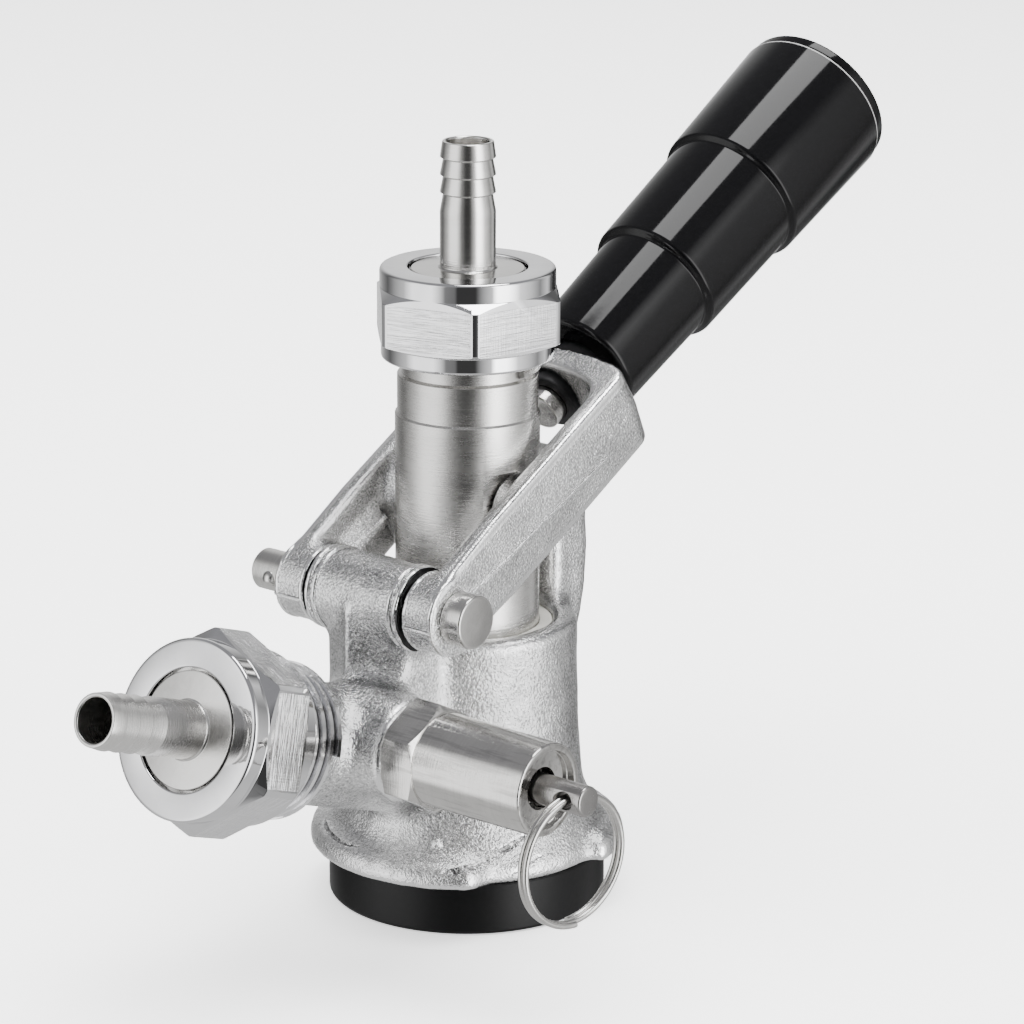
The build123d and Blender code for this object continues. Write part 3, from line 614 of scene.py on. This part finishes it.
# Guide bush: a pale acetal bush, turned and pressed in the mouth of the barrel, its
# face just below the rim. The probe slides in it.
bush_outline = rounded(
    [
        (11.25, 40, 0),
        (11.25, 44.4, 0.4),
        (13.35, 44.4, 0.4),
        (13.35, 33.6, 0.2),
        (11.25, 33.6, 0.2),
        (11.25, 40, 0),
    ]
)
bush = turned("probe_bush", bush_outline, solid=False)
pale_plastic = plastic_finish("pale_acetal", (0.55, 0.54, 0.50), 0.40, 900.0, 0.00002)
fit(bush, pale_plastic, "bush_plastic", "body", "guide_bush")


# Hinge pin: a ball lock pin of turned stainless steel with a plain round head. It is
# pushed through hubs and boss, and the ball in its tail keeps it there.
BRIGHT_STEEL = (0.66, 0.65, 0.63)


def steel_finish(
    name, tint, roughness, lines, place=(0, 0, 0), turn=(0, 0, 0), depth=0.00002, drawn_and_reflection_streaks=0.0
):
    """Turned steel: lathe lines run round the piece's own axis, which place and turn give.

    Where the streak weight is not zero, dark streaks run along the axis as well: partly die marks
    of bar stock, partly painted dark reflection bands.
    """
    steel = Finish(name, Metallic=1.0)
    own = steel.own(place, turn)
    round_lines = own.vector("MULTIPLY", (0.06, 0.06, 1.0))
    groove = steel.noise(round_lines, lines, 4.0, 0.65)
    broad = steel.noise(round_lines, lines * 0.12)
    cloud = steel.noise(own, 220.0, 4.0, 0.6)
    dark, light = [0.82 * c for c in tint], [1.08 * c for c in tint]
    tone = groove * 0.35 + broad * 0.25 + cloud * 0.4
    shade = steel.ramp(tone, (0.30, dark), (0.70, light))
    if drawn_and_reflection_streaks:
        # Partly painted reflection: dark streaks along the axis stand in for dark reflection
        # bands, and for die marks on the bar.
        length_lines = own.vector("MULTIPLY", (1.0, 1.0, 0.09))
        streak = steel.noise(length_lines, 900.0, 5.0, 0.65)
        streak = steel.ramp(streak, (0.50, 0.0), (0.66, 1.0))
        shade = steel.mix(streak * drawn_and_reflection_streaks, shade, (0.10, 0.10, 0.10))
    steel.feed(
        Base_Color=shade,
        Roughness=cloud * 0.10 + groove * 0.08 + (roughness - 0.09),
        Normal=steel.bump(groove, depth),
    )
    return steel


pin_outline = rounded(
    [
        (2.6, -23.7, 0),
        (3.2, -23.1, 0.2),
        (3.2, 15.9, 0),
        (4.1, 15.9, 0.3),
        (4.1, 19.7, 0.5),
        (0.5, 19.75, 0),
    ]
)
pin = turned("ball_lock_pin", pin_outline, **ACROSS)
pin_steel = steel_finish("pin_steel", BRIGHT_STEEL, 0.20, 5000.0, **ACROSS)
fit(pin, pin_steel, "stainless", "body", "hinge_pin")


# Lever fork: a casting of the same plated brass, two drafted arms and a crowned bridge.
# The mould's joint leaves a line of flash along it; the holes are drilled afterwards.
LEVER = dict(place=HINGE, turn=(-61.2, 0, 0))
FLASH_PLATE = (60.0, 0.4, 80.0)

fork = copy_of("lever_fork", "fork")
cast_corners(fork, fillet=0.8, grain=0.4, last_grain=0.36)
flash = copy_of("lever_fork", "flash")
with_modifier(flash, "REMESH", mode="VOXEL", voxel_size=0.4 * MM)
with_modifier(flash, "DISPLACE", strength=0.2 * MM, mid_level=0.0)
deselect()
bpy.ops.mesh.primitive_cube_add(size=1.0, scale=[v * MM for v in FLASH_PLATE])
mould_joint = laid(bpy.context.object, (0, -1.3, 0), (-5.0, 0, 0))
cut(flash, laid(mould_joint, **LEVER), "INTERSECT")
cut(fork, flash, "UNION")
for side in (1, -1):
    cut(fork, turned("hub_gap", [(8, side * 8.9), (8, side * 9.95)], **ACROSS))
    cut(fork, bead("hub_bead", 5.65, 0.5, side * 10.45, **ACROSS), "UNION")
    cut(fork, bead("hub_bead", 5.7, 0.45, side * 15.3, **ACROSS), "UNION")
cut(fork, turned("pin_drill", [(PIN_HOLE, -18), (PIN_HOLE, 18)], **ACROSS))
cut(fork, turned("bushing_drill", [(4.95, 40), (4.95, 58)], **LEVER))


def arm_edges(cast):
    """Painted highlight along the top outer edge of each arm, 15.3 to the side and 6.4 above the
    lever's axis.
    """
    flat = cast.own(**LEVER).vector("ABSOLUTE").vector("MULTIPLY", (1.0, 1.0, 0.0))
    gap = flat.vector("DISTANCE", (15.3 * MM, 6.4 * MM, 0.0))
    return cast.ramp(gap * 500.0, (0.38, 1.0), (0.62, 0.0))


# The top outer edges of the arms get a painted highlight.
fork_finish = cast_finish("fork_chrome", 3000.0, 0.00013, slit=(8.5, 10.03), polished=arm_edges)
fit(fork, fork_finish, "plated_casting", "lever", "lever_fork", angle=40)


# Bushing: a sleeve of black plastic, pressed through the bridge of the fork. It guides
# the plunger, and the wall at its far end holds the plunger's spring.
bushing_outline = rounded(
    [
        (3.35, 50, 0),
        (3.35, 46.6, 0.2),
        (4.9, 46.6, 0.4),
        (4.9, 66.5, 0.2),
        (2.05, 66.5, 0),
        (2.05, 64.5, 0),
        (3.35, 64.5, 0),
        (3.35, 50, 0),
    ]
)
bushing = turned("plunger_bush", bushing_outline, solid=False, **LEVER)
black_plastic = plastic_finish("black_bushing", (0.014, 0.014, 0.015), 0.38, 1400.0, 0.00002)
fit(bushing, black_plastic, "black_bushing", "lever", "plunger_bushing")


# Plunger: a turned stainless spindle, screwed into the grip and pulled out with it. Its
# thick nose drops in a pocket of the body's guard when the lever is down.
plunger_outline = rounded(
    [(2.6, 44, 0), (3.3, 44, 0.5), (3.3, 52.5, 0.1), (2.0, 52.5, 0), (2.0, 86, 0)]
)
plunger = turned("plunger", plunger_outline, **LEVER)
plunger_steel = steel_finish("plunger_steel", BRIGHT_STEEL, 0.16, 5000.0, **LEVER)
fit(plunger, plunger_steel, "stainless", "handle", "lock_plunger")


# Grip: a glossy black moulding of three stepped tapers on the plunger. A round cap is
# pressed in its far end, and a thin pale line round the grip's end next to it is a painted
# highlight.
def gloss_finish(name, shade, roughness, rim):
    """Glossy moulding with a painted highlight, a thin pale line at the distance rim along the
    lever.
    """
    gloss = Finish(name, Specular_IOR_Level=0.22)
    spot = gloss.spot()
    peel = gloss.noise(spot, 260.0, 2.0)
    scuff = gloss.noise(spot, 1200.0, 5.0, 0.7)
    black = gloss.ramp(scuff, (0.35, shade), (0.75, [1.6 * c for c in shade]))
    # Painted highlight: a thin pale ring of colour at the grip's end.
    painted_rim_highlight = abs(gloss.own(**LEVER).part(2) - rim * MM) < 0.15 * MM
    gloss.feed(
        Base_Color=gloss.mix(painted_rim_highlight, black, (0.22, 0.22, 0.22)),
        Roughness=scuff * 0.08 + (roughness - 0.04),
        Normal=gloss.bump(peel, 0.00003, 0.2),
    )
    return gloss


grip_outline = rounded(
    [
        (5.5, 65, 0),
        (5.5, 55.3, 0.3),
        (9.5, 55.3, 1.0),
        (10.1, 76.4, 0.5),
        (11.2, 76.9, 1.3),
        (11.7, 99.2, 0.5),
        (12.6, 99.7, 1.3),
        (13.4, 124.6, 0.7),
        (12.35, 124.6, 0.2),
        (12.35, 121.6, 0),
        (2.1, 121.6, 0),
        (2.1, 74, 0),
        (5.5, 74, 0),
        (5.5, 65, 0),
    ]
)
grip = turned("grip", grip_outline, solid=False, **LEVER)
gloss_black = gloss_finish("black_grip", (0.0015, 0.0015, 0.0017), 0.08, rim=124.25)
fit(grip, gloss_black, "black_grip", "handle", "handle_grip")

cap_outline = rounded(
    [
        (12.2, 121.7, 0),
        (12.2, 124.7, 0),
        (13.1, 124.8, 0.1),
        (13.1, 126.4, 0.35),
        (10.6, 126.4, 0.3),
        (10.3, 126.1, 0.3),
        (0.5, 126.1, 0),
    ]
)
cap = turned("grip_cap", cap_outline, **LEVER)
fit(cap, gloss_black, "black_grip", "handle", "grip_end_cap")


# Probe: a ground stainless tube that slides in the body and carries the beer. Two flats
# are milled across it for the lever's lugs, and its top is threaded for the union nut.
FLAT = 8.9
MILLED_SLAB = (10.0, 40.0, 12.5)

probe_outline = rounded(
    [
        (3.6, 40, 0),
        (3.6, 12.4, 0.1),
        (5.4, 12.4, 0.1),
        (5.4, 17.6, 0),
        (9.4, 17.6, 0.3),
        (9.4, 20.0, 0.2),
        (8.2, 21.2, 0.8),
        (8.2, 27.0, 0.8),
        (10.6, 29.0, 0.4),
        (11.2, 29.8, 0.4),
        (11.2, 77.75, 0.25),
        (10.85, 78.1, 0.1),
        (10.85, 84.0, 0.3),
        (10.2, 84.3, 0),
        (10.2, 93.6, 0),
        (10.0, 93.8, 0),
        (7.7, 93.8, 0),
        (7.7, 84.8, 0),
        (6.4, 84.8, 0),
        (6.4, 75.5, 0.2),
        (3.6, 72.0, 0.2),
        (3.6, 40, 0),
    ]
)
probe = turned("probe_tube", probe_outline, solid=False)
for side in (1, -1):
    deselect()
    bpy.ops.mesh.primitive_cube_add(
        size=1.0,
        location=(side * (FLAT + MILLED_SLAB[0] / 2) * MM, 0, 64.17 * MM),
        scale=[v * MM for v in MILLED_SLAB],
    )
    cut(probe, bpy.context.object)


def broken_edges(piece, width, segments, angle):
    """Break every edge that is sharper than the angle, as a file or a lathe tool does."""
    sharp = dict(limit_method="ANGLE", angle_limit=radians(angle))
    with_modifier(piece, "BEVEL", width=width * MM, segments=segments, **sharp)


broken_edges(probe, 0.18, 2, 50)
probe_steel = steel_finish("probe_steel", (0.70, 0.69, 0.67), 0.27, 3400.0, depth=0.00004)
fit(probe, probe_steel, "stainless", "beer_probe", "probe")

probe_thread = thread("probe_top_thread", 10.0, 11.3, 85.3, 4.4)
fit(probe_thread, probe_steel, "stainless", "beer_probe", angle=25)


# Union nuts: chrome-plated brass hexagons, 27 mm across flats, turned round at both
# ends. Fine milling lines run round each flat, and fainter ones along it.
ACROSS_FLATS = 27.0
NUT_LENGTH = 14.1


def nut_finish(name, cross, low, place=(0, 0, 0), turn=(0, 0, 0)):
    """Chrome with lines on the flats alone; cross is the strength of those along the nut."""
    chrome = Finish(name, Metallic=1.0)
    own = chrome.own(place, turn)
    along = own.part(2)
    radius = own.vector("MULTIPLY", (1.0, 1.0, 0.0)).vector("LENGTH")
    flats = (along > (low + 3.2) * MM) * (along < (low + 10.0) * MM) * (radius < 15.2 * MM)
    level = chrome.noise(own.vector("MULTIPLY", (0.03, 0.03, 1.0)), 3300.0, 2.0, 0.7)
    upright = chrome.noise(own.vector("MULTIPLY", (1.0, 1.0, 0.05)), 3000.0, 2.0, 0.7)
    level = chrome.ramp(level, (0.40, 0.0), (0.60, 1.0))
    upright = chrome.ramp(upright, (0.42, 0.0), (0.60, 1.0))
    lines = (level + upright * cross) * flats
    cloud = chrome.noise(own, 180.0, 4.0, 0.6)
    dark, light = (0.72, 0.72, 0.73), (0.90, 0.90, 0.91)
    chrome.feed(
        Base_Color=chrome.ramp(cloud * 0.7 + lines * 0.3, (0.25, dark), (0.75, light)),
        Roughness=cloud * 0.06 + 0.02 + lines * 0.06,
        Normal=chrome.bump(lines, 0.00004),
    )
    return chrome


def hexagon(name, across, low, length, spin):
    """Hexagon bar along Z from the height low, so wide across its flats."""
    deselect()
    bpy.ops.mesh.primitive_cylinder_add(
        vertices=6,
        radius=across / 2 / cos(pi / 6) * MM,
        depth=length * MM,
        location=(0, 0, (low + length / 2) * MM),
        rotation=(0, 0, radians(spin)),
    )
    return fresh(name)


def union_nut(name, spin, low, place=(0, 0, 0), turn=(0, 0, 0)):
    """Nut from the height low: a hexagon turned to its outline, outside and inside."""
    nut = hexagon(name, ACROSS_FLATS, low, NUT_LENGTH, spin)
    top = low + NUT_LENGTH
    outline = rounded(
        [
            (9.2, low + 11.2, 0),
            (9.15, top, 0.35),
            (ACROSS_FLATS / 2, top, 0.7),
            (ACROSS_FLATS / 2, low + 11.2, 0.3),
            (15.35, low + 9.95, 0.3),
            (15.35, low + 3.3, 0.3),
            (13.3, low + 2.7, 0.3),
            (13.3, low, 0.6),
            (12.1, low, 0.2),
            (12.1, low + 11.2, 0),
            (9.2, low + 11.2, 0),
        ]
    )
    cut(nut, turned("nut_form", outline, solid=False, sides=192), "INTERSECT")
    broken_edges(nut, 0.22, 3, 28)
    return laid(nut, place, turn)


beer_nut_low, gas_nut_low = 86.6, 52.6
beer_nut = union_nut("beer_nut", -75.3, beer_nut_low)
beer_chrome = nut_finish("beer_nut_chrome", 0.1, beer_nut_low)
fit(beer_nut, beer_chrome, "plated_nut", "beer_probe", "beer_union_nut")
gas_nut = union_nut("gas_nut", 7.0, gas_nut_low, **INLET)
gas_chrome = nut_finish("gas_nut_chrome", 0.5, gas_nut_low, **INLET)
fit(gas_nut, gas_chrome, "plated_nut", "body", "gas_union_nut")


# Tailpieces: turned stainless hose ends with three barbs. The flange at the foot of
# each is clamped on its washer by the lip of the union nut.
def tailpiece(name, foot, place=(0, 0, 0), turn=(0, 0, 0)):
    bore, neck, tip = 3.3, 4.28, foot + 26.2
    flange = [(bore, foot + 1.5, 0), (10.6, foot + 1.5, 0.2), (10.6, foot + 4.1, 0.2)]
    collar = [(8.75, foot + 4.1, 0), (8.75, foot + 6.65, 0.3), (4.58, foot + 6.65, 0.15)]
    stalk = [(neck, foot + 6.95, 0.2), (neck, tip - 4 * 2.7, 0.3)]
    barbs = []
    for ridge in (tip - 3 * 2.7, tip - 2 * 2.7, tip - 2.7):
        barbs += [(3.8, ridge, 0.08), (neck, ridge + 0.25, 0.12)]
    mouth = [(3.93, tip, 0.2), (3.5, tip, 0.15), (bore, tip - 0.2, 0.1)]
    inside = [(bore, foot + 10, 0)]
    outline = inside + flange + collar + stalk + barbs + mouth + inside
    return turned(name, rounded(outline, 3), place, turn, solid=False)


beer_barb = tailpiece("beer_barb", 93.8)
barb_steel = steel_finish("barb_steel", (0.72, 0.71, 0.69), 0.18, 4500.0)
fit(beer_barb, barb_steel, "stainless", "beer_probe", "beer_tailpiece")
gas_barb = tailpiece("gas_barb", 59.8, **INLET)
gas_barb_steel = steel_finish("gas_barb_steel", (0.78, 0.77, 0.75), 0.26, 4500.0, **INLET)
fit(gas_barb, gas_barb_steel, "stainless", "body", "gas_tailpiece")


# Relief valve: a stainless body turned from drawn bar, with a hexagon at its foot to
# screw it in its boss, and a bare recessed face round the stem.
RELIEF = dict(place=(0, -29.4, 33.7), turn=(0, 90, 0))

relief = hexagon("relief_body", 15.0, 14.7, 5.8, 31.0)
chamfers = rounded(
    [
        (2, 14.7, 0),
        (7.5, 14.7, 0.1),
        (8.9, 15.4, 0),
        (8.9, 19.7, 0),
        (7.5, 20.5, 0.1),
        (2, 20.5, 0),
    ]
)
cut(relief, turned("hex_form", chamfers), "INTERSECT")
barrel = rounded(
    [
        (3.2, 38.6, 0),
        (3.2, 39.3, 0.1),
        (5.9, 39.3, 0.2),
        (5.9, 40.6, 0.25),
        (7.05, 40.6, 0.45),
        (7.25, 16.0, 0),
        (5.4, 16.0, 0),
        (5.4, 9.9, 0.2),
        (1.8, 9.9, 0),
        (1.8, 17.7, 0),
        (5.2, 17.7, 0),
        (5.2, 38.1, 0),
        (3.2, 38.1, 0),
        (3.2, 38.6, 0),
    ]
)
cut(relief, turned("relief_barrel", barrel, solid=False), "UNION")
broken_edges(relief, 0.15, 2, 32)
laid(relief, **RELIEF)
relief_steel = steel_finish(
    "relief_steel", BRIGHT_STEEL, 0.11, 3600.0, depth=0.00003, drawn_and_reflection_streaks=0.32, **RELIEF
)
fit(relief, relief_steel, "stainless", "body", "relief_valve_body")


# Relief stem: a turned steel spindle that lifts the valve disc. A cross hole near its
# outer end, flared at both mouths, takes the pull ring.
stem_outline = rounded(
    [(4.5, 18.95, 0), (4.6, 20.5, 0.1), (2.32, 20.5, 0), (2.32, 48.1, 0.45), (0.4, 48.1, 0)]
)
stem = turned("relief_stem", stem_outline, **RELIEF)
cross_hole = [(2.0, -2.6), (1.42, -1.9), (1.35, -1.2), (1.35, 1.2), (1.42, 1.9), (2.0, 2.6)]
hole_place = dict(place=(45.0, -29.4, 33.7), turn=(90, 0, 0))
cut(stem, turned("cross_drill", cross_hole, sides=48, **hole_place))
broken_edges(stem, 0.12, 2, 40)
stem_steel = steel_finish("stem_steel", (0.42, 0.41, 0.40), 0.26, 6000.0, **RELIEF)
fit(stem, stem_steel, "stainless", "relief_stem", "relief_valve_stem")


# Pull ring: a split ring, two close turns of bright spring wire threaded through the
# cross hole of the relief stem, where it hangs free.
def coil(name, wire, radius, start, rise, turns, place=(0, 0, 0), turn=(0, 0, 0), steps=128):
    """Wire wound round Z from the height start, higher by rise after all its turns."""
    deselect()
    bpy.ops.mesh.primitive_circle_add(
        vertices=20,
        radius=wire * MM,
        location=(radius * MM, 0, start * MM),
        rotation=(pi / 2, 0, 0),
    )
    piece = fresh(name)
    winding = dict(angle=2 * pi * turns, screw_offset=rise * MM)
    with_modifier(piece, "SCREW", axis="Z", steps=steps * turns, **winding)
    mended(close=True)
    return laid(piece, place, turn)


hanging = dict(place=(45.0, -29.4, 24.05), turn=(0, 90, -8))
pull_ring = coil("split_ring", 0.5, 9.75, -0.98, 1.96, 2, **hanging)
ring_wire = steel_finish("ring_wire", BRIGHT_STEEL, 0.22, 9000.0)
fit(pull_ring, ring_wire, "stainless", "ring", "pull_ring")


# Springs: round spring wire; one drives the plunger home, one holds the relief valve shut.
# In the coupler each is pressed together against the wall behind it as its joint moves; here each
# keeps one length, in a mesh of its own.
spring_steel = steel_finish("spring_steel", (0.52, 0.51, 0.49), 0.28, 9000.0)
plunger_coil = coil("plunger_coil", 0.5, 2.7, 53.1, 10.8, 7, steps=40, **LEVER)
fit(plunger_coil, spring_steel, "spring_steel", "lever", "plunger_spring")
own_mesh(plunger_coil)
relief_coil = coil("relief_coil", 0.35, 3.76, 21.0, 16.6, 8, steps=40, **RELIEF)
fit(relief_coil, spring_steel, "spring_steel", "body", "relief_valve_spring")
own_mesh(relief_coil)


# Soft pieces and balls: rubber seals, silicone washers and check valve, the acetal ball
# retainer and hardened steel balls. They sit inside, and their plain shapes are right.
def dress(finish, *nodes):
    for node in nodes:
        for holder in frame["nodes"][node].material_slots:
            holder.material = finish.material


rubber = plastic_finish("seal_rubber", (0.03, 0.03, 0.032), 0.55, 2200.0, 0.00002)
dress(rubber, "body_seal", "upper_probe_seal", "probe_foot_seal", "relief_valve_disc")
silicone = plastic_finish("clear_silicone", (0.62, 0.61, 0.58), 0.32, 1600.0, 0.00002)
dress(silicone, "gas_check_valve", "beer_washer", "gas_washer")
dress(pale_plastic, "ball_retainer")
ball_steel = steel_finish("ball_steel", BRIGHT_STEEL, 0.18, 5000.0)
dress(ball_steel, "beer_check_ball", "hinge_pin_ball")
